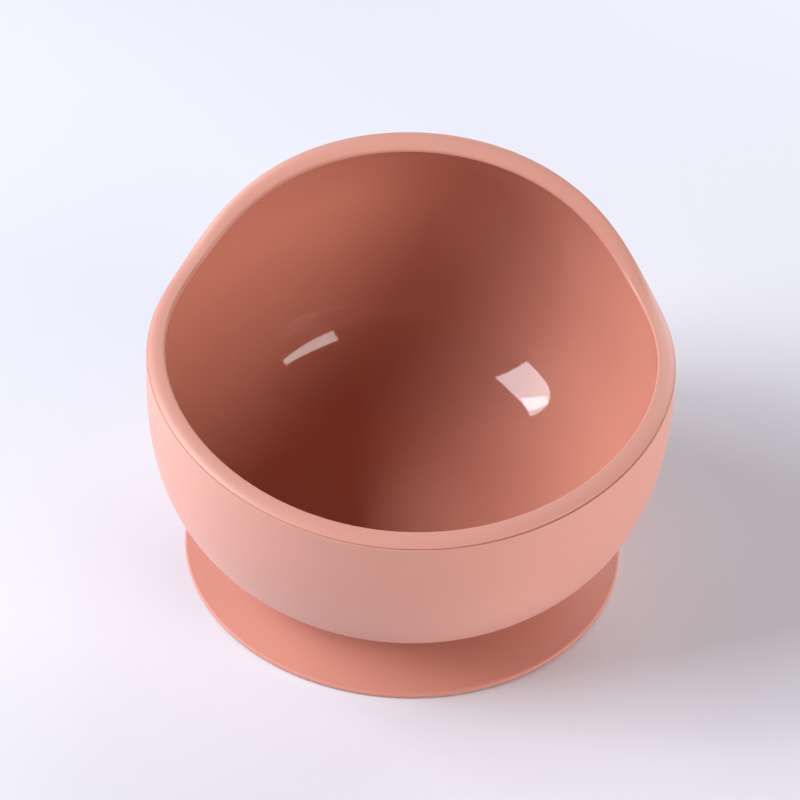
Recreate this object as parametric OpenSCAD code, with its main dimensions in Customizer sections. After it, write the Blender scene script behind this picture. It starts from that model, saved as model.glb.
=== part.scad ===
// Suction bowl for a baby: a thick silicone bowl with a raised back, and the silicone suction base
// that holds it to a table. Millimetres. Z is up, the table is z = 0, and the raised back faces +Y.
// The origin is on the table, under the middle of the bowl.

/* [Bowl] */
// Widest outer diameter of the bowl
bowl_d = 120; // [96:1:150]
// Height of the widest ring above the table
belly_h = 48; // [40:0.5:60]
// Height at which the lower curve would close if the underside were not flat
lower_close_z = -2.5; // [-7:0.5:0]
// Height above the widest ring at which the upper curve would close
crown_up = 53; // [44:0.5:66]
// Squareness of the lower curve, 2 is an ellipse
lower_square = 2.47; // [2:0.01:3.2]
// Squareness of the upper curve, 2 is an ellipse
upper_square = 2.3; // [2:0.01:3]
// Wall thickness at the widest ring, square to the wall
wall = 3.8; // [2.5:0.1:6]
// How much thicker the wall would be where the lower curve closes
wall_low_extra = 4.5; // [0:0.5:6]
// How much thicker the wall would be where the upper curve closes
wall_top_extra = 1.3; // [0:0.1:3]
// Floor thickness
floor_t = 4; // [3:0.1:7]
// Height of the flat underside above the table
underside_h = 5; // [4:0.1:10]
// Rounding where the flat underside turns into the wall
heel_round = 4; // [1:0.5:6]
// Rounding where the inside floor turns into the wall
floor_round = 7; // [2:0.5:9]

/* [Rim] */
// Height of the rim above the widest ring, half way between front and back
rim_mid_up = 13.5; // [10:0.1:18]
// Rise of the rim towards the back, in mm for each mm
rim_tilt = 0.038; // [0:0.002:0.08]
// Drop of the rim from its middle to the front edge, from its curve alone
rim_sag = 5.6; // [0:0.1:8]
// Height of the raised back above the rest of the rim
back_rise = 35.2; // [10:0.1:44]
// Distance from the back of the widest ring to the middle of the rise
back_rise_inset = 26.4; // [20:0.1:34]
// Softness of the rise, larger is gentler
back_rise_soft = 5; // [3:0.1:9]
// Height of the rounding of the rim's outer corner
rim_drop = 1.1; // [0.5:0.1:1.8]
// Share of the rim's width that the outer rounding takes
rim_crown = 0.65; // [0.3:0.05:0.8]
// How much lower the rim's inner edge lies than its outer edge
rim_in_drop = 0.35; // [0:0.05:0.8]
// Rounding of the rim's inner corner
rim_round_in = 0.5; // [0.2:0.1:0.6]

/* [Suction base] */
// Diameter of the suction skirt at the table
skirt_d = 106.8; // [88:0.2:130]
// Thickness of the skirt's outer edge
skirt_edge_t = 1.4; // [0.8:0.1:1.6]
// Thickness of the skirt where it meets the hub
skirt_root_t = 1.5; // [1:0.1:2]
// Width of the flat sealing lip on the table
lip_w = 5; // [3:0.5:9]
// Distance from the edge of the bowl's flat underside in to the hub's edge
hub_inset = 4.6; // [2:0.1:9]
// Height of the air chamber under the hub
chamber_h = 3.5; // [3.2:0.1:3.9]
// Width of the hub's shoulder around the spigot that locates it in the bowl
shoulder_w = 4.5; // [3:0.1:10]
// Height of the spigot
spigot_h = 1.3; // [0.6:0.1:1.8]
// Bond line around the spigot
bond_gap = 0.2; // [0.1:0.05:0.3]
// Clearance between pieces that move past each other
joint_gap = 0.3; // [0.2:0.05:0.5]

/* [Release tab] */
// Width of the tab
tab_w = 16; // [12:1:24]
// Reach of the tab past the skirt's edge
tab_reach = 6.6; // [6:0.2:10]
// Thickness of the tab
tab_t = 1.4; // [1:0.1:2]
// Corner radius of the tab's tip
tab_corner = 4; // [2:0.5:5]
// Diameter of the grip bar across the tab
grip_d = 2; // [1.6:0.1:2.4]
// Gap between the tab and the table
tab_table_gap = 0.3; // [0.2:0.1:0.5]

/* [Hidden] */

$fn = 96;
// Steps of the bowl's faceted shell
around = 72;
wall_steps = 10;
corner_steps = 3;
solve_steps = 26;

silicone = [0.83, 0.57, 0.50];
base_silicone = [0.80, 0.52, 0.44];

bowl_r = bowl_d / 2;
belly_drop = belly_h - lower_close_z;
floor_z = underside_h + floor_t;
recess_z = underside_h + spigot_h + bond_gap;
skirt_r = skirt_d / 2;
skirt_top_z = underside_h - joint_gap;
edge_round = skirt_edge_t * 0.4;

// ---- the bowl's wall, as a curve of radius and height over an angle t from -90 to 90 ----

function square_of(t) = t < 0 ? lower_square : upper_square;
function reach_of(t) = t < 0 ? belly_drop : crown_up;
function side_of(t) = t < 0 ? -1 : 1;

// Point of the outer curve
function outer_point(t) =
    [bowl_r * pow(cos(t), 2 / square_of(t)),
     belly_h + side_of(t) * reach_of(t) * pow(abs(sin(t)), 2 / square_of(t))];

// Outward unit normal of the outer curve
function outer_normal(t) =
    let (n = square_of(t))
    let (across = pow(cos(t), 2 * (n - 1) / n) / bowl_r)
    let (along = side_of(t) * pow(abs(sin(t)), 2 * (n - 1) / n) / reach_of(t))
    [across, along] / norm([across, along]);

// Thickness of the wall, which grows slowly away from the widest ring
function thickness(t) =
    let (away = (outer_point(t)[1] - belly_h) / reach_of(t))
    wall + (t < 0 ? wall_low_extra : wall_top_extra) * away * away;

// Point of the wall, where side is 0 on the outside and 1 on the inside
function wall_point(t, side) = outer_point(t) - side * thickness(t) * outer_normal(t);

// Height of the rim at a distance y from the middle, towards the back
function rim_z(y) =
    belly_h + rim_mid_up + rim_tilt * y - rim_sag * pow(y / bowl_r, 2)
    + back_rise / (1 + exp((bowl_r - back_rise_inset - y) / back_rise_soft));

// Angle t at which the wall reaches the rim, where backward is 1 at the back and -1 at the front
function rim_angle(side, backward, low = -10, high = 89, left = solve_steps) =
    let (mid = (low + high) / 2)
    let (p = wall_point(mid, side))
    left == 0 ? mid
    : p[1] > rim_z(p[0] * backward) - side * rim_in_drop
        ? rim_angle(side, backward, low, mid, left - 1)
    : rim_angle(side, backward, mid, high, left - 1);

// Angle t at which the wall comes down to a height
function foot_angle(side, z, low = -89, high = 0, left = solve_steps) =
    let (mid = (low + high) / 2)
    left == 0 ? mid
    : wall_point(mid, side)[1] > z ? foot_angle(side, z, low, mid, left - 1)
    : foot_angle(side, z, mid, high, left - 1);

// Change of t that moves a wall point by about one millimetre
function turn_per_mm(t, side) = 1 / norm(wall_point(t + 0.5, side) - wall_point(t - 0.5, side));

// Points that round a corner, from one point to the next
function rounded(from, corner, to, steps = corner_steps) =
    [for (k = [0 : steps])
        let (s = k / steps)
        pow(1 - s, 2) * from + 2 * s * (1 - s) * corner + s * s * to];

function wall_run(side, t0, t1) =
    [for (k = [1 : wall_steps - 1]) wall_point(t0 + (t1 - t0) * k / wall_steps, side)];

heel_t = foot_angle(0, underside_h);
heel_end_t = heel_t + heel_round * turn_per_mm(heel_t, 0);
bay_t = foot_angle(1, floor_z);
bay_end_t = bay_t + floor_round * turn_per_mm(bay_t, 1);

// The suction base follows the flat underside that the wall leaves
flat_r = wall_point(heel_t, 0)[0] - heel_round;
hub_r = flat_r - hub_inset;
spigot_r = hub_r - shoulder_w;
recess_r = spigot_r + bond_gap;
skirt_hole_r = hub_r + joint_gap;

// Closed section of the bowl from its bottom centre, round the rim, to its floor centre
function bowl_section(backward) =
    let (out_t = rim_angle(0, backward))
    let (in_t = rim_angle(1, backward))
    let (out_start_t = out_t - rim_drop * turn_per_mm(out_t, 0))
    let (in_end_t = in_t - rim_round_in * turn_per_mm(in_t, 1))
    let (outer = wall_point(out_t, 0))
    let (inner = wall_point(in_t, 1))
    let (across = (inner - outer) / norm(inner - outer))
    let (heel = wall_point(heel_t, 0))
    let (bay = wall_point(bay_t, 1))
    concat(
        [[0, recess_z], [recess_r, recess_z], [recess_r, underside_h]],
        rounded(heel - [heel_round, 0], heel, wall_point(heel_end_t, 0)),
        wall_run(0, heel_end_t, out_start_t),
        rounded(wall_point(out_start_t, 0), outer, outer + rim_crown * thickness(out_t) * across),
        rounded(inner - rim_round_in * across, inner, wall_point(in_end_t, 1), 2),
        wall_run(1, in_end_t, bay_end_t),
        rounded(wall_point(bay_end_t, 1), bay, bay - [floor_round, 0]),
        [[0, floor_z]]);

// Sweeps the section about Z. The first and last points of each section lie on the axis.
module bowl_shell() {
    sections = [for (i = [0 : around - 1]) bowl_section(sin(360 * i / around))];
    rings = len(sections[0]) - 2;
    points = concat(
        [[0, 0, recess_z], [0, 0, floor_z]],
        [for (i = [0 : around - 1])
            let (a = 360 * i / around)
            for (k = [1 : rings])
                let (p = sections[i][k])
                [p[0] * cos(a), p[0] * sin(a), p[1]]]);
    faces = [for (i = [0 : around - 1])
        let (here = 2 + i * rings)
        let (next = 2 + ((i + 1) % around) * rings)
        each concat(
            [[0, here, next], [1, next + rings - 1, here + rings - 1]],
            [for (k = [0 : rings - 2]) [here + k, here + k + 1, next + k]],
            [for (k = [0 : rings - 2]) [here + k + 1, next + k + 1, next + k]])];
    color(silicone) polyhedron(points = points, faces = faces, convexity = 6);
}

// ---- the suction base ----

// Thick middle of the base, with the spigot that seats in the bowl's underside
module suction_hub() {
    color(base_silicone) rotate_extrude() polygon([
        [0, chamber_h],
        [hub_r, chamber_h],
        [hub_r, underside_h],
        [spigot_r, underside_h],
        [spigot_r, underside_h + spigot_h],
        [0, underside_h + spigot_h]]);
}

// Thin cone that flattens on the table, with a flat sealing lip
module suction_skirt() {
    color(base_silicone) rotate_extrude() polygon([
        [skirt_hole_r, skirt_top_z - skirt_root_t],
        [skirt_r - lip_w, 0],
        [skirt_r, 0],
        [skirt_r, skirt_edge_t - edge_round],
        [skirt_r - edge_round, skirt_edge_t],
        [skirt_hole_r, skirt_top_z]]);
}

// Flat tongue at the back of the skirt, lifted by a finger to let air in
module release_tab() {
    tip_y = skirt_r + tab_reach;
    corner_x = tab_w / 2 - tab_corner;
    grip_y = tip_y - tab_corner;
    color(base_silicone) {
        difference() {
            translate([0, 0, tab_table_gap]) linear_extrude(tab_t) union() {
                translate([-tab_w / 2, skirt_r - tab_corner])
                    square([tab_w, tab_reach]);
                translate([-corner_x, skirt_r])
                    square([2 * corner_x, tab_reach]);
                for (side = [-1, 1])
                    translate([side * corner_x, tip_y - tab_corner]) circle(tab_corner);
            }
            translate([0, 0, -1]) cylinder(r = skirt_r + joint_gap, h = tab_t + 3);
        }
        translate([-corner_x, grip_y, tab_table_gap + tab_t])
            rotate([0, 90, 0]) cylinder(d = grip_d, h = 2 * corner_x);
    }
}

bowl_shell();
suction_hub();
suction_skirt();
release_tab();
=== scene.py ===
"""Suction bowl for a baby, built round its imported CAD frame.

Each piece is a mesh made from a rule: the bowl is a curve swept about Z and cut by a rim that
rises in an S at the back, the hub and the skirt are turned from their sections, and the tab is a
flared tongue. Lengths in the shape code are millimetres, and everything put in the scene is metres.
"""

import math

import bpy
from mathutils import Matrix, Vector


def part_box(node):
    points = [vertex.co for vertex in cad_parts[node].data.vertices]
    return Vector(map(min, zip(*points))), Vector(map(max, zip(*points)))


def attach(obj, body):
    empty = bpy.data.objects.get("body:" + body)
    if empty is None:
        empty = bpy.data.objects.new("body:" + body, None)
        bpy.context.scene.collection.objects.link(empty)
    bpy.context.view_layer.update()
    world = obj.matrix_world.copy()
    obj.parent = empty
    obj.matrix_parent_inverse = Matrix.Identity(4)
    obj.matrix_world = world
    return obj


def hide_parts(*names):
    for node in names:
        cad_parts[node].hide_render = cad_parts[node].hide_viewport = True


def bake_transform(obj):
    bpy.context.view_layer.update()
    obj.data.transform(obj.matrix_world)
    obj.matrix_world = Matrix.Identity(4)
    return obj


bl_info = {
    "name": "Suction bowl",
    "version": (1, 0, 0),
    "blender": (4, 5, 0),
    "location": "3D View > Sidebar > Suction bowl",
    "description": "Builds a silicone suction bowl for a baby, with its studio stage",
    "category": "Add Mesh",
}

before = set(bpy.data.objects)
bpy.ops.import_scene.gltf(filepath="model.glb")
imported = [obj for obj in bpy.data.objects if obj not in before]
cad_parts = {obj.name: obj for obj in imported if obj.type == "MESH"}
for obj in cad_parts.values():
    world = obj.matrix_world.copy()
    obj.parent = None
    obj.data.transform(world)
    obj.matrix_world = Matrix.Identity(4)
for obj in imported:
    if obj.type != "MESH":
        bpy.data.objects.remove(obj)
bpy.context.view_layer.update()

MM = 0.001
HALVINGS = 40  # of a range of angles, to find where a curve crosses a height


def cad_mm(node):
    """Lowest and highest corner of a CAD node, in millimetres."""
    low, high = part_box(node)
    return low / MM, high / MM


BOWL_LOW, BOWL_HIGH = cad_mm("bowl_shell")
HUB_LOW, HUB_HIGH = cad_mm("suction_hub")
SKIRT_HIGH = cad_mm("suction_skirt")[1]
TAB_LOW, TAB_HIGH = cad_mm("release_tab")


# ---------------------------------------------------------------- properties

def size_mm(name, description, default):
    """A length in millimetres that a user may change."""
    return bpy.props.FloatProperty(name=name, description=description, default=default, min=0.0)


def number(name, description, default, low=0.0, high=10.0):
    """A plain number that a user may change."""
    return bpy.props.FloatProperty(name=name, description=description, default=default, min=low, max=high)


def srgb(hex_colour):
    """Linear red, green, blue of an sRGB hex colour."""
    values = [int(hex_colour[i:i + 2], 16) / 255 for i in (0, 2, 4)]
    return tuple(v / 12.92 if v <= 0.04045 else ((v + 0.055) / 1.055) ** 2.4 for v in values)


def colour(name, description, hex_colour):
    """A colour that a user may change."""
    return bpy.props.FloatVectorProperty(
        name=name, description=description, default=srgb(hex_colour), size=3,
        min=0.0, max=1.0, subtype="COLOR")


class SuctionBowlSizes(bpy.types.PropertyGroup):
    """Sizes of the bowl, in millimetres."""

    radius: size_mm("Radius", "Radius of the widest ring", round(BOWL_HIGH.x, 1))
    underside_z: size_mm("Underside", "Height of the flat underside", BOWL_LOW.z)
    belly_z: size_mm("Belly height", "Height of the widest ring", 48.0)
    lower_reach: size_mm("Lower reach", "Depth of the lower curve, if it closed", 50.5)
    upper_reach: size_mm("Upper reach", "Height of the upper curve, if it closed", 53.0)
    lower_square: number("Lower squareness", "2 is an ellipse", 2.47, 2.0, 4.0)
    upper_square: number("Upper squareness", "2 is an ellipse", 2.3, 2.0, 4.0)
    wall: size_mm("Wall", "Wall thickness at the widest ring", 3.8)
    wall_low: size_mm("Low extra", "Extra thickness where the lower curve would close", 4.5)
    wall_top: size_mm("Top extra", "Extra thickness where the upper curve would close", 1.3)
    floor: size_mm("Floor", "Floor thickness", 4.0)
    heel_round: size_mm("Heel rounding", "Rounding from the underside to the wall", 4.0)
    floor_round: size_mm("Floor rounding", "Rounding from the floor to the wall inside", 7.0)
    rim_mid_up: size_mm("Rim", "Height of the rim above the widest ring, at its middle", 13.5)
    rim_tilt: number("Rim tilt", "Rise of the rim towards the back, for each unit", 0.038)
    rim_sag: size_mm("Rim sag", "Drop of the rim's curve from its middle to the front", 5.6)
    back_rise: size_mm("Back rise", "Height of the raised back above the rim", 35.2)
    back_inset: size_mm("Back inset", "From the back of the widest ring to mid rise", 26.4)
    back_soft: size_mm("Back softness", "Larger is a gentler rise", 5.0)
    rim_drop: size_mm("Rim corner drop", "Height of the rim's outer rounding", 1.1)
    rim_roll: number("Rim crown", "Share of the rim's width that slopes down to its edge", 0.84, 0.2, 0.95)
    rim_lean: size_mm("Rim corner lean", "How far in the rounding's corner lies", 0.92)
    rim_in_drop: size_mm("Rim inner drop", "How much lower the inner edge lies than the outer", 0.35)
    rim_inner: size_mm("Rim inner corner", "Rounding of the rim's inner corner", 1.0)
    parting_depth: size_mm("Parting groove", "Depth of the fine groove where the mould parts", 0.35)
    parting_width: size_mm("Parting width", "Width of that groove", 0.24)
    flash: size_mm("Flash", "How far the wall stands out below the groove", 0.2)


class SuctionBaseSizes(bpy.types.PropertyGroup):
    """Sizes of the suction base, in millimetres."""

    hub_radius: size_mm("Hub radius", "Radius of the thick middle", HUB_HIGH.x)
    hub_z: size_mm("Hub underside", "Height of the air chamber", HUB_LOW.z)
    spigot_top: size_mm("Spigot top", "Height of the top of the spigot", HUB_HIGH.z)
    shoulder: size_mm("Shoulder", "Width of the shoulder round the spigot", 4.5)
    skirt_radius: size_mm("Skirt radius", "Radius of the skirt on the table", SKIRT_HIGH.x)
    skirt_top: size_mm("Skirt top", "Height of the skirt at the hub", SKIRT_HIGH.z)
    root_thick: size_mm("Skirt root", "Thickness of the skirt at the hub", 1.5)
    edge_thick: size_mm("Skirt edge", "Thickness of the skirt at its edge", 1.4)
    lip: size_mm("Sealing lip", "Width of the flat lip on the table", 5.0)
    tab_width: size_mm("Tab width", "Width of the release tab", TAB_HIGH.x - TAB_LOW.x)
    tab_tip: size_mm("Tab tip", "Distance of the tab's tip from the axis", TAB_HIGH.y)
    tab_low: size_mm("Tab underside", "Gap between the tab and the table", TAB_LOW.z)
    tab_thick: size_mm("Tab thickness", "Thickness of the tab", 1.4)
    tab_corner: size_mm("Tab corner", "Corner radius of the tab's tip", 4.0)


class SiliconeLook(bpy.types.PropertyGroup):
    """Colours and finishes of the silicone."""

    bowl_colour: colour("Bowl", "Pigment of the bowl's polished inside", "C88672")
    # The outside's colour is the bowl's pigment made paler: a painted sheen standing in for the light that
    # the blasted finish scatters
    bowl_satin_painted_sheen: colour("Bowl outside", "The same pigment, paler where it is blasted", "CC9281")
    base_colour: colour("Base", "Pigment of the suction base", "C58573")
    satin: number("Satin roughness", "Roughness of the blasted outside", 0.46, 0.0, 1.0)
    base_satin: number("Base roughness", "Roughness of the blasted suction base", 0.62, 0.0, 1.0)
    polish: number("Polished roughness", "Roughness of the polished inside", 0.05, 0.0, 1.0)


class StageLook(bpy.types.PropertyGroup):
    """Floor, light and camera."""

    floor_colour: colour("Floor", "Colour of the floor", "D5D4D9")
    lamp_colour: colour("Lamps", "Colour of the soft boxes, a cool daylight", "F2F6FF")
    fill_colour: colour("Fill lamp", "Colour of the fill at the right, a little warmer", "FFF6F4")
    world_colour: colour("Room", "Colour of the light from all round", "F2F0FF")
    world_strength: number("Room light", "Strength of the light from all round", 0.03)
    backdrop: number("Backdrop", "Brightness of the backdrop behind the floor", 0.8)
    elevation: bpy.props.FloatProperty(
        name="Elevation", description="Camera's height above the horizon",
        default=math.radians(39.03), subtype="ANGLE", unit="ROTATION")
    azimuth: bpy.props.FloatProperty(
        name="Azimuth", description="Camera's turn round the bowl",
        default=math.radians(0.67), subtype="ANGLE", unit="ROTATION")
    roll: bpy.props.FloatProperty(
        name="Roll", description="Camera's roll about its own axis",
        default=math.radians(2.53), subtype="ANGLE", unit="ROTATION")
    distance: bpy.props.FloatProperty(
        name="Distance", description="From the camera to what it looks at",
        default=0.4033, unit="LENGTH")
    lens: bpy.props.FloatProperty(
        name="Lens", description="Focal length on a 36 mm sensor, in millimetres", default=78.25)


# ---------------------------------------------------------------- shapes

def crossing(low, high, is_past):
    """Angle between low and high at which is_past(angle) turns from false to true."""
    for _ in range(HALVINGS):
        mid = (low + high) / 2
        if is_past(mid):
            high = mid
        else:
            low = mid
    return mid


class BowlWall:
    """The bowl's wall as a curve of (radius, height) in mm over an angle t in degrees.

    t is -90 at the bottom, 0 at the widest ring and 90 where the upper curve would close.
    """

    def __init__(self, sizes):
        self.s = sizes

    def curve(self, t):
        """Squareness and signed reach of the lower or the upper curve."""
        if t < 0:
            return self.s.lower_square, -self.s.lower_reach
        return self.s.upper_square, self.s.upper_reach

    def outer(self, t):
        """Point of the outer curve."""
        square, reach = self.curve(t)
        a = math.radians(t)
        radius = self.s.radius * math.cos(a) ** (2 / square)
        return Vector((radius, self.s.belly_z + reach * abs(math.sin(a)) ** (2 / square)))

    def normal(self, t):
        """Outward unit normal of the outer curve."""
        square, reach = self.curve(t)
        a = math.radians(t)
        power = 2 * (square - 1) / square
        across = math.cos(a) ** power / self.s.radius
        along = abs(math.sin(a)) ** power / reach
        return Vector((across, along)).normalized()

    def thickness(self, t):
        """Thickness of the wall, which grows slowly away from the widest ring."""
        extra = self.s.wall_low if t < 0 else self.s.wall_top
        reach = self.curve(t)[1]
        return self.s.wall + extra * ((self.outer(t).y - self.s.belly_z) / reach) ** 2

    def point(self, t, side, lift=0.0):
        """Point on the outside if side is 0 or the inside if it is 1, lifted outwards by a length."""
        return self.outer(t) - (side * self.thickness(t) - lift) * self.normal(t)

    def rim_z(self, y):
        """Height of the rim at a distance y towards the back."""
        s = self.s
        rise = s.back_rise / (1 + math.exp((s.radius - s.back_inset - y) / s.back_soft))
        return s.belly_z + s.rim_mid_up + s.rim_tilt * y - s.rim_sag * (y / s.radius) ** 2 + rise

    def rim_angle(self, side, backward):
        """Angle at which the wall meets the rim; backward is 1 at the back, -1 at the front."""

        def is_above(t):
            p = self.point(t, side)
            return p.y > self.rim_z(p.x * backward) - side * self.s.rim_in_drop

        return crossing(-10.0, 89.0, is_above)

    def foot_angle(self, side, z):
        """Angle at which the wall comes down to a height."""
        return crossing(-89.0, 0.0, lambda t: self.point(t, side).y > z)

    def along(self, t, side, length):
        """Angle that lies a length in mm along the wall from t, upwards if the length is positive."""
        step = math.copysign(0.25, length)
        left = abs(length)
        while True:
            gone = (self.point(t + step, side) - self.point(t, side)).length
            if gone > left:
                return t + step * left / gone
            t += step
            left -= gone


def rounded(start, corner, end, steps):
    """Points that round a corner, both ends included."""
    points = []
    for k in range(steps + 1):
        s = k / steps
        points.append((1 - s) ** 2 * start + 2 * s * (1 - s) * corner + s * s * end)
    return points


def between(start, end, steps):
    """Evenly spaced points strictly between two points."""
    return [start.lerp(end, k / steps) for k in range(1, steps)]


def bowl_section(wall, backward, recess_r, recess_z):
    """Closed section of the bowl, from its bottom centre to its floor centre.

    Returns the points and the index of the first point of the polished inside.
    """
    s = wall.s
    floor_z = s.underside_z + s.floor
    heel_t = wall.foot_angle(0, s.underside_z)
    heel = wall.point(heel_t, 0)
    heel_end_t = wall.along(heel_t, 0, s.heel_round)
    bay_t = wall.foot_angle(1, floor_z)
    bay = wall.point(bay_t, 1)
    bay_end_t = wall.along(bay_t, 1, s.floor_round)

    out_t = wall.rim_angle(0, backward)
    in_t = wall.rim_angle(1, backward)
    outer = wall.point(out_t, 0)
    inner = wall.point(in_t, 1)
    width = (inner - outer).length
    across = (inner - outer) / width

    # The recess takes the hub's spigot. Its corner is rounded and its mouth is bevelled
    corner, bevel = 0.2, 0.1
    points = [Vector((0, recess_z))]
    points += [Vector((recess_r * f, recess_z)) for f in (0.5, 0.98)]
    points += rounded(Vector((recess_r - corner, recess_z)), Vector((recess_r, recess_z)),
                      Vector((recess_r, recess_z - corner)), 3)
    flat_start = Vector((recess_r + bevel, s.underside_z))
    flat_end = heel - Vector((s.heel_round, 0))
    points += [Vector((recess_r, s.underside_z + bevel)), flat_start]
    points += between(flat_start, flat_end, 4)
    points += rounded(flat_end, heel, wall.point(heel_end_t, 0), 10)

    # The wall comes up to the parting groove. It stands out gradually over the fairing, to the
    # flash, and ends in a small chamfer
    fairing, chamfer = 5.0, 0.14
    groove_t = wall.along(out_t, 0, -s.rim_drop)
    shelf_t = wall.along(groove_t, 0, -s.parting_width)
    flash_t = wall.along(shelf_t, 0, -chamfer)
    fair_t = wall.along(shelf_t, 0, -fairing)
    steps = 52
    for k in range(1, steps):
        points.append(wall.point(heel_end_t + (fair_t - heel_end_t) * k / steps, 0))
    points += [wall.point(fair_t + (flash_t - fair_t) * f, 0, s.flash * f * f * (3 - 2 * f))
               for f in (0.0, 0.2, 0.4, 0.6, 0.8, 1.0)]
    points.append(wall.point(shelf_t, 0, s.flash * 0.25))
    # Each pair is a share of the way up across the groove and a share of its depth
    points += [wall.point(shelf_t + (groove_t - shelf_t) * f, 0, -s.parting_depth * d)
               for f, d in ((0.12, 0.2), (0.35, 1.0), (0.8, 1.0), (0.95, 0.3))]

    # The rim slopes gently down to the groove, and its inner corner is rounded
    groove_lift = -0.03
    groove_top = wall.point(groove_t, 0, groove_lift)
    roll_end = outer + s.rim_roll * width * across
    points += rounded(groove_top, outer + s.rim_lean * across, roll_end, 12)
    inner_start = inner - s.rim_inner * across
    points += between(roll_end, inner_start, 2)
    in_end_t = wall.along(in_t, 1, -s.rim_inner)
    points += rounded(inner_start, inner, wall.point(in_end_t, 1), 6)
    polished = len(points) - 3  # two thirds of the way round that corner

    for k in range(1, steps):
        points.append(wall.point(in_end_t + (bay_end_t - in_end_t) * k / steps, 1))
    floor_edge = bay - Vector((s.floor_round, 0))
    points += rounded(wall.point(bay_end_t, 1), bay, floor_edge, 14)
    points += between(floor_edge, Vector((0, floor_z)), 6)
    points.append(Vector((0, floor_z)))
    return points, polished


def sweep(name, sections, slot_of=None):
    """Mesh of closed sections, in mm, set evenly round Z.

    Each section starts and ends on the axis, or is a ring if its first and last points are off
    it. slot_of(k) is the material slot of the band from point k to the next.
    """
    count = len(sections)
    capped = sections[0][0].x < 1e-6
    ring = sections[0][1:-1] if capped else sections[0]
    size = len(ring)
    verts = []
    for i, section in enumerate(sections):
        a = 2 * math.pi * i / count
        for p in (section[1:-1] if capped else section):
            verts.append((p.x * math.cos(a) * MM, p.x * math.sin(a) * MM, p.y * MM))
    faces, slots = [], []
    bands = size - 1 if capped else size
    for i in range(count):
        here, there = i * size, (i + 1) % count * size
        for k in range(bands):
            k2 = (k + 1) % size
            faces.append((here + k, there + k, there + k2, here + k2))
            slots.append(slot_of(k + 1) if slot_of else 0)
    if capped:
        start, end = len(verts), len(verts) + 1
        verts.append((0, 0, sections[0][0].y * MM))
        verts.append((0, 0, sections[0][-1].y * MM))
        for i in range(count):
            here, there = i * size, (i + 1) % count * size
            faces.append((start, there, here))
            slots.append(slot_of(0) if slot_of else 0)
            faces.append((end, here + size - 1, there + size - 1))
            slots.append(slot_of(size) if slot_of else 0)
    return mesh_object(name, verts, faces, slots)


def mesh_object(name, verts, faces, slots=None, sharp_degrees=40):
    """Smooth-shaded object of these vertices and faces, linked to the scene."""
    mesh = bpy.data.meshes.new(name)
    mesh.from_pydata(verts, [], faces)
    if slots:
        mesh.polygons.foreach_set("material_index", slots)
    mesh.polygons.foreach_set("use_smooth", [True] * len(mesh.polygons))
    mesh.set_sharp_from_angle(angle=math.radians(sharp_degrees))
    mesh.validate()
    obj = bpy.data.objects.new(name, mesh)
    bpy.context.scene.collection.objects.link(obj)
    return obj


def turned(name, section, count=256, slot_of=None):
    """Mesh of one section turned about Z."""
    return sweep(name, [section] * count, slot_of)


# ---------------------------------------------------------------- materials

def add_node(tree, kind, settings=None, **links):
    """Adds a node, sets its properties and inputs, and links its inputs.

    A setting named for an input sets that input's value; any other sets the node's property.
    links give an input's name, with _ for spaces, and the output socket that feeds it.
    """
    node = tree.nodes.new(kind)
    for key, value in (settings or {}).items():
        if isinstance(key, int) or key in node.inputs:
            node.inputs[key].default_value = value
        else:
            setattr(node, key, value)
    for key, socket in links.items():
        name = key.replace("_", " ")
        tree.links.new(socket, node.inputs[int(key[1:]) if key[1:].isdigit() else name])
    return node


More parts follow.
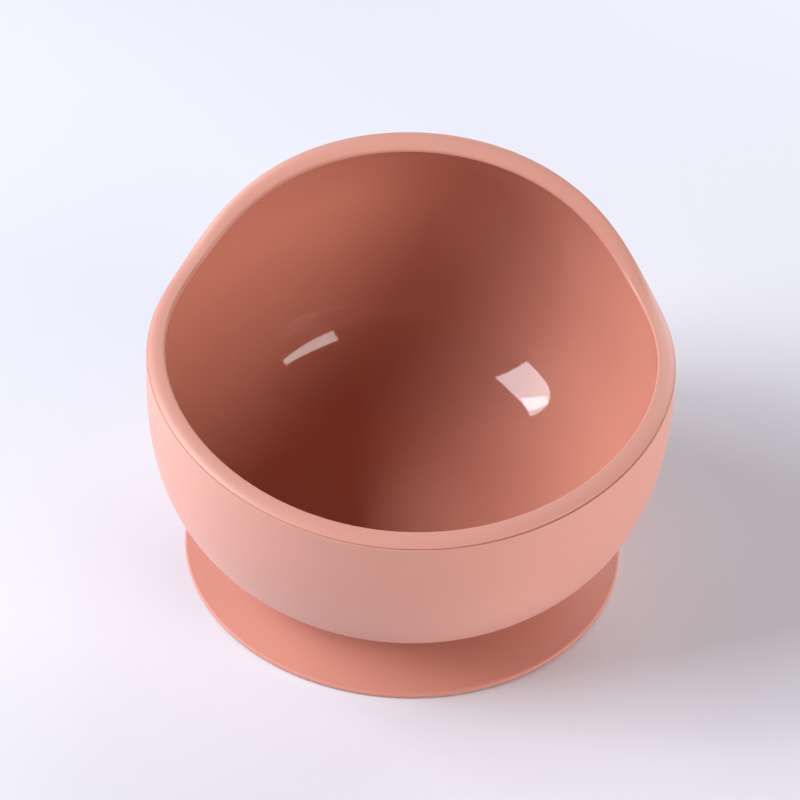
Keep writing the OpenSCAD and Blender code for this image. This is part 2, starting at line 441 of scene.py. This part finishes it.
def silicone(name, base, roughness, grain_mm, grain_depth_mm, wave_depth_mm, wipe, bloom):
    """Pigmented liquid silicone rubber, moulded.

    base is its colour. grain_mm and grain_depth_mm are the mould's blasted grain, and
    wave_depth_mm is the slow waviness that a hand-polished mould leaves. wipe is how much the
    roughness drifts from place to place, as silicone does where it has been handled. bloom is the
    pale dusty sheen that a satin face shows at its edges.
    """
    material = bpy.data.materials.new(name)
    material.use_nodes = True
    tree = material.node_tree
    tree.nodes.clear()
    place = add_node(tree, "ShaderNodeTexCoord").outputs["Object"]

    # Sizes in mm of the slow patches of colour, of finish and of waviness
    colour_mm, finish_mm, wave_mm = 38, 22, 14

    # Pigment: the mix is never quite even, so the colour drifts between two close shades
    darker, paler = 0.965, 1.03
    drift = add_node(tree, "ShaderNodeTexNoise", {
        "Scale": 1 / (colour_mm * MM), "Detail": 3.0, "Roughness": 0.55}, Vector=place)
    shade = add_node(tree, "ShaderNodeMix", {
        "data_type": "RGBA",
        6: (*[v * darker for v in base], 1),
        7: (*[min(1, v * paler) for v in base], 1)}, _0=drift.outputs["Fac"])

    # Finish: the roughness drifts slowly from place to place
    handled = add_node(tree, "ShaderNodeTexNoise", {
        "Scale": 1 / (finish_mm * MM), "Detail": 4.0, "Roughness": 0.6}, Vector=place)
    rough = add_node(tree, "ShaderNodeMapRange", {
        "From Min": 0.3, "From Max": 0.7, "To Min": roughness - wipe, "To Max": roughness + wipe},
        Value=handled.outputs["Fac"])

    # Surface: fine grain, and over it the slow waves
    grain = add_node(tree, "ShaderNodeTexNoise", {"Scale": 1 / (grain_mm * MM), "Detail": 2.0},
                     Vector=place)
    fine = add_node(tree, "ShaderNodeBump", {"Strength": 1.0, "Distance": grain_depth_mm * MM},
                    Height=grain.outputs["Fac"])
    wave = add_node(tree, "ShaderNodeTexNoise", {"Scale": 1 / (wave_mm * MM), "Detail": 1.0},
                    Vector=place)
    slow = add_node(tree, "ShaderNodeBump", {"Strength": 1.0, "Distance": wave_depth_mm * MM},
                    Height=wave.outputs["Fac"], Normal=fine.outputs["Normal"])

    shader = add_node(tree, "ShaderNodeBsdfPrincipled", {
        "IOR": 1.4, "Sheen Weight": bloom, "Sheen Roughness": 0.45, "Sheen Tint": (0.9, 0.9, 1.0, 1)},
        Base_Color=shade.outputs[2], Roughness=rough.outputs["Result"], Normal=slow.outputs["Normal"])
    add_node(tree, "ShaderNodeOutputMaterial", Surface=shader.outputs["BSDF"])
    return material


def satin_silicone(name, base, roughness):
    """Silicone moulded against a blasted steel face: soft sheen, no sharp reflections.

    Real blasted grain is about 0.05 mm, too fine to show, so it is drawn at 0.35 mm.
    """
    return silicone(name, base, roughness, grain_mm=0.35, grain_depth_mm=0.006,
                    wave_depth_mm=0.01, wipe=0.03, bloom=0.1)


def polished_silicone(name, base, look):
    """Silicone moulded against a polished steel core: glossy, so it mirrors the lamps."""
    return silicone(name, base, look.polish, grain_mm=0.8, grain_depth_mm=0.0004,
                    wave_depth_mm=0.012, wipe=0.02, bloom=0.0)


# ---------------------------------------------------------------- operators

class BUILD_OT_bowl_shell(bpy.types.Operator):
    """Builds the bowl: blasted outside and rim, polished inside, fine parting groove"""

    bl_idname = "suction_bowl.bowl_shell"
    bl_label = "Bowl"

    def execute(self, context):
        scene = context.scene
        sizes, base, look = scene.bowl_sizes, scene.base_sizes, scene.silicone_look
        wall = BowlWall(sizes)
        bond_gap = 0.2
        recess_r = base.hub_radius - base.shoulder + bond_gap
        recess_z = base.spigot_top + bond_gap
        count = 288
        made = [bowl_section(wall, math.sin(2 * math.pi * i / count), recess_r, recess_z)
                for i in range(count)]
        polished = made[0][1]
        bowl = sweep("bowl_shell", [points for points, _ in made], lambda k: int(k >= polished))
        # The blasted outside takes the paler colour, whose paleness is painted sheen
        bowl.data.materials.append(satin_silicone("Blasted silicone, bowl", look.bowl_satin_painted_sheen, look.satin))
        bowl.data.materials.append(polished_silicone("Polished silicone, bowl", look.bowl_colour, look))
        return finish_piece(bowl, "bowl_shell", "bowl")


class BUILD_OT_suction_hub(bpy.types.Operator):
    """Builds the thick middle of the suction base, with its spigot"""

    bl_idname = "suction_bowl.suction_hub"
    bl_label = "Suction hub"

    def execute(self, context):
        scene = context.scene
        s, look = scene.base_sizes, scene.silicone_look
        seat = scene.bowl_sizes.underside_z
        r, spigot = s.hub_radius, s.hub_radius - s.shoulder
        dome, soft, crisp, bevel = 0.35, 0.3, 0.15, 0.1
        section = [Vector((0, s.hub_z + dome))]
        section += [Vector((r * f, s.hub_z + dome * (1 - f * f))) for f in (0.2, 0.4, 0.6, 0.8, 0.92)]
        section += rounded(Vector((r - soft, s.hub_z)), Vector((r, s.hub_z)),
                           Vector((r, s.hub_z + soft)), 4)
        section += rounded(Vector((r, seat - crisp)), Vector((r, seat)), Vector((r - crisp, seat)), 3)
        section += [Vector((spigot + bevel, seat)), Vector((spigot, seat + bevel))]
        section += rounded(Vector((spigot, s.spigot_top - soft)), Vector((spigot, s.spigot_top)),
                           Vector((spigot - soft, s.spigot_top)), 4)
        section += [Vector((spigot * f, s.spigot_top)) for f in (0.66, 0.33)]
        section.append(Vector((0, s.spigot_top)))
        hub = turned("suction_hub", section)
        hub.data.materials.append(polished_silicone("Polished silicone, hub", look.base_colour, look))
        return finish_piece(hub, "suction_hub", "bowl")


class BUILD_OT_suction_skirt(bpy.types.Operator):
    """Builds the thin skirt with its rounded edge and flat sealing lip"""

    bl_idname = "suction_bowl.suction_skirt"
    bl_label = "Suction skirt"

    def execute(self, context):
        scene = context.scene
        s, look = scene.base_sizes, scene.silicone_look
        root_gap, bend_share, bend, seam = 0.02, 0.08, 1.2, 0.02
        r, root = s.skirt_radius, s.hub_radius + root_gap
        low_root = Vector((root, s.skirt_top - s.root_thick))
        lip_in = Vector((r - s.lip, 0))
        top_root = Vector((root, s.skirt_top))
        half = s.edge_thick / 2
        edge_top = Vector((r - half, s.edge_thick))
        lip_start = lip_in + (low_root - lip_in) * bend_share
        flat_start = lip_in + Vector((bend, 0))
        flat_end = Vector((r - half, 0))
        cone_steps, bend_steps, flat_steps, edge_steps = 16, 5, 4, 6
        section = [low_root] + between(low_root, lip_start, cone_steps)
        section += rounded(lip_start, lip_in, flat_start, bend_steps)
        section += between(flat_start, flat_end, flat_steps)
        section += rounded(flat_end, Vector((r, 0)), Vector((r, half - seam)), edge_steps)
        section += rounded(Vector((r, half + seam)), Vector((r, s.edge_thick)), edge_top, edge_steps)
        section += between(edge_top, top_root, 22)
        section += [top_root]
        under = cone_steps + bend_steps + flat_steps + edge_steps
        skirt = turned("suction_skirt", section, slot_of=lambda k: int(k < under))
        skirt.data.materials.append(
            satin_silicone("Blasted silicone, skirt", look.base_colour, look.base_satin))
        skirt.data.materials.append(polished_silicone("Polished silicone, skirt", look.base_colour, look))
        bend_skirt(skirt)
        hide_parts("suction_skirt")
        return {"FINISHED"}


def bend_skirt(skirt):
    """Bakes the skirt's placement into its mesh; the skirt is not bent."""
    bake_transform(skirt)


class BUILD_OT_release_tab(bpy.types.Operator):
    """Builds the soft tongue that is lifted to let the air in"""

    bl_idname = "suction_bowl.release_tab"
    bl_label = "Release tab"

    def execute(self, context):
        scene = context.scene
        s, look = scene.base_sizes, scene.silicone_look
        tab = tab_mesh(s)
        tab.data.materials.append(
            satin_silicone("Blasted silicone, tab", look.base_colour, look.base_satin))
        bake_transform(tab)
        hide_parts("release_tab")
        return {"FINISHED"}


def tab_mesh(s):
    """Tongue with rounded edges, flared where it grows out of the skirt, with three grip ribs."""
    overlap, flare, flare_length, round_r = 1.2, 2.6, 3.2, 0.5
    rib_inset, rib_pitch, rib_half, rib_high, rib_margin, rib_end = 1.9, 1.3, 0.45, 0.4, 1.6, 0.6
    start, tip = s.skirt_radius - overlap, s.tab_tip
    half, corner = s.tab_width / 2, s.tab_corner
    rows, columns = 84, 49
    mid_z = s.tab_low + s.tab_thick / 2
    ribs = [tip - rib_inset - rib_pitch * k for k in range(3)]

    def half_width(y):
        root = max(0.0, 1 - (y - start) / flare_length)
        width = half + flare * root * root
        past = y - (tip - corner)
        if past > 0:
            width = half - corner + math.sqrt(max(0.0, corner * corner - past * past))
        return width

    def edge_share(distance):
        f = min(1.0, max(0.0, distance) / round_r)
        return math.sqrt(max(0.0, 1 - (1 - f) ** 2))

    verts, index = [], {}

    def add(side, row, column):
        """Index of a vertex. side is 1 on top and -1 below, and both share the outline's vertices.

        Rows crowd towards the tip and columns towards the sides, where the edge is round.
        """
        v = row / (rows - 1)
        y = start + (tip - start) * math.sin(v * math.pi / 2) ** 0.9
        u = math.sin((column / (columns - 1) - 0.5) * math.pi)
        width = half_width(y)
        x = u * width
        border = column in (0, columns - 1) or row == rows - 1
        key = (0 if border else side, row, column)
        if key not in index:
            share = 0.0 if border else edge_share(min(width - abs(x), tip - y))
            z = mid_z + side * share * s.tab_thick / 2
            if side > 0 and not border:
                for rib in ribs:
                    near = max(0.0, 1 - ((y - rib) / rib_half) ** 2)
                    ends = min(1.0, max(0.0, (width - rib_margin - abs(x)) / rib_end))
                    z += rib_high * near * ends * (2 - ends) * share
            index[key] = len(verts)
            verts.append((x * MM, y * MM, z * MM))
        return index[key]

    faces = []
    for row in range(rows - 1):
        for column in range(columns - 1):
            for side in (1, -1):
                quad = [add(side, row, column), add(side, row, column + 1),
                        add(side, row + 1, column + 1), add(side, row + 1, column)]
                faces.append(quad if side > 0 else quad[::-1])
    for column in range(columns - 1):
        cap = [add(1, 0, column), add(-1, 0, column), add(-1, 0, column + 1), add(1, 0, column + 1)]
        faces.append([v for n, v in enumerate(cap) if v not in cap[:n]])
    return mesh_object("release_tab", verts, faces)


def finish_piece(obj, node, body):
    """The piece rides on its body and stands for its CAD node."""
    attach(obj, body)
    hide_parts(node)
    return {"FINISHED"}


class BUILD_OT_stage(bpy.types.Operator):
    """Builds the floor, the lights and the camera"""

    bl_idname = "suction_bowl.stage"
    bl_label = "Stage"

    def execute(self, context):
        scene = context.scene
        look = scene.stage_look
        scene.view_settings.view_transform = "Standard"
        make_floor(look)
        make_world(scene, look)
        make_lamps(look)
        make_camera(scene, look)
        return {"FINISHED"}


def make_floor(look):
    """Wide round matt sheet on the table plane, as large as the lamps light."""
    radius, corners = 0.85, 96
    rim = [(radius * math.cos(2 * math.pi * k / corners), radius * math.sin(2 * math.pi * k / corners), 0)
           for k in range(corners)]
    floor = mesh_object("floor", rim, [tuple(range(corners))])
    material = bpy.data.materials.new("Matt white sheet")
    material.use_nodes = True
    shader = material.node_tree.nodes["Principled BSDF"]
    shader.inputs["Base Color"].default_value = (*look.floor_colour, 1)
    shader.inputs["Roughness"].default_value = 0.7
    floor.data.materials.append(material)


def make_world(scene, look):
    """Dim even light from all round, which is seen behind the floor as a pale backdrop."""
    world = bpy.data.worlds.new("Studio")
    world.use_nodes = True
    tree = world.node_tree
    dim = tree.nodes["Background"]
    dim.inputs["Color"].default_value = (*look.world_colour, 1)
    dim.inputs["Strength"].default_value = look.world_strength
    pale = add_node(tree, "ShaderNodeBackground", {
        "Color": (*look.world_colour, 1), "Strength": look.backdrop})
    seen = add_node(tree, "ShaderNodeLightPath").outputs["Is Camera Ray"]
    both = add_node(tree, "ShaderNodeMixShader", {}, _0=seen, _1=dim.outputs[0], _2=pale.outputs[0])
    tree.links.new(both.outputs[0], tree.nodes["World Output"].inputs["Surface"])
    scene.world = world


# Each soft box: name, azimuth and elevation in degrees seen from the bowl, distance, width and
# height in metres, and power in watts
LAMPS = (
    ("key_front", -76, 33, 0.9, 0.4, 0.48, 8.7),
    ("key_high", -100, 40, 0.9, 0.4, 0.24, 3.9),
    ("key_low", -90, 9, 0.9, 0.4, 0.28, 2.8),
    ("fill_right", 57, 14, 0.9, 0.48, 0.45, 7.3),
    ("room_back", 150, 19, 1.0, 1.0, 0.6, 9.0),
)

# Points in metres that the lamps and the camera face
LAMP_AIM = Vector((0, 0, 0.04))
CAMERA_AIM = Vector((-0.0021, 0, 0.0426))


def direction(azimuth, elevation):
    """Unit vector from the bowl towards an azimuth from the front and an elevation, in radians."""
    across = math.cos(elevation)
    return Vector((math.sin(azimuth) * across, -math.cos(azimuth) * across, math.sin(elevation)))


def make_lamps(look):
    """Soft boxes round the bowl, each facing it."""
    for name, azimuth, elevation, distance, width, height, power in LAMPS:
        lamp = bpy.data.lights.new(name, "AREA")
        lamp.shape, lamp.size, lamp.size_y, lamp.energy = "RECTANGLE", width, height, power
        lamp.color = look.fill_colour if name == "fill_right" else look.lamp_colour
        obj = bpy.data.objects.new(name, lamp)
        bpy.context.scene.collection.objects.link(obj)
        obj.visible_camera = False
        out = direction(math.radians(azimuth), math.radians(elevation))
        obj.location = LAMP_AIM + out * distance
        obj.rotation_euler = (-out).to_track_quat("-Z", "Y").to_euler()


def make_camera(scene, look):
    """Camera in front of the bowl, looking down on it."""
    back = direction(look.azimuth, look.elevation)
    right = (-back).cross(Vector((0, 0, 1))).normalized()
    up = right.cross(-back)
    turn = Matrix.Rotation(look.roll, 3, back)
    right, up = turn @ right, turn @ up
    data = bpy.data.cameras.new("camera")
    data.sensor_width, data.lens = 36.0, look.lens
    data.clip_start, data.clip_end = 0.01, 20.0
    camera = bpy.data.objects.new("camera", data)
    scene.collection.objects.link(camera)
    place = Matrix((right, up, back)).transposed().to_4x4()
    place.translation = CAMERA_AIM + back * look.distance
    camera.matrix_world = place
    scene.camera = camera


# ---------------------------------------------------------------- panel and registration

class VIEW3D_PT_suction_bowl(bpy.types.Panel):
    """Lists the pieces and their sizes"""

    bl_idname = "VIEW3D_PT_suction_bowl"
    bl_label = "Suction bowl"
    bl_space_type = "VIEW_3D"
    bl_region_type = "UI"
    bl_category = "Suction bowl"

    def draw(self, context):
        for operator in OPERATORS:
            self.layout.operator(operator.bl_idname)
        for group in GROUPS:
            box = self.layout.box()
            for name in GROUPS[group].__annotations__:
                box.prop(getattr(context.scene, group), name)


OPERATORS = (
    BUILD_OT_bowl_shell,
    BUILD_OT_suction_hub,
    BUILD_OT_suction_skirt,
    BUILD_OT_release_tab,
    BUILD_OT_stage,
)
GROUPS = {
    "bowl_sizes": SuctionBowlSizes,
    "base_sizes": SuctionBaseSizes,
    "silicone_look": SiliconeLook,
    "stage_look": StageLook,
}


def register():
    for group in GROUPS:
        bpy.utils.register_class(GROUPS[group])
        setattr(bpy.types.Scene, group, bpy.props.PointerProperty(type=GROUPS[group]))
    for operator in OPERATORS:
        bpy.utils.register_class(operator)
    bpy.utils.register_class(VIEW3D_PT_suction_bowl)


def unregister():
    bpy.utils.unregister_class(VIEW3D_PT_suction_bowl)
    for operator in reversed(OPERATORS):
        bpy.utils.unregister_class(operator)
    for group in reversed(GROUPS):
        delattr(bpy.types.Scene, group)
        bpy.utils.unregister_class(GROUPS[group])


def main():
    register()
    bpy.ops.suction_bowl.bowl_shell()
    bpy.ops.suction_bowl.suction_hub()
    bpy.ops.suction_bowl.suction_skirt()
    bpy.ops.suction_bowl.release_tab()
    bpy.ops.suction_bowl.stage()


if __name__ == "__main__":
    main()
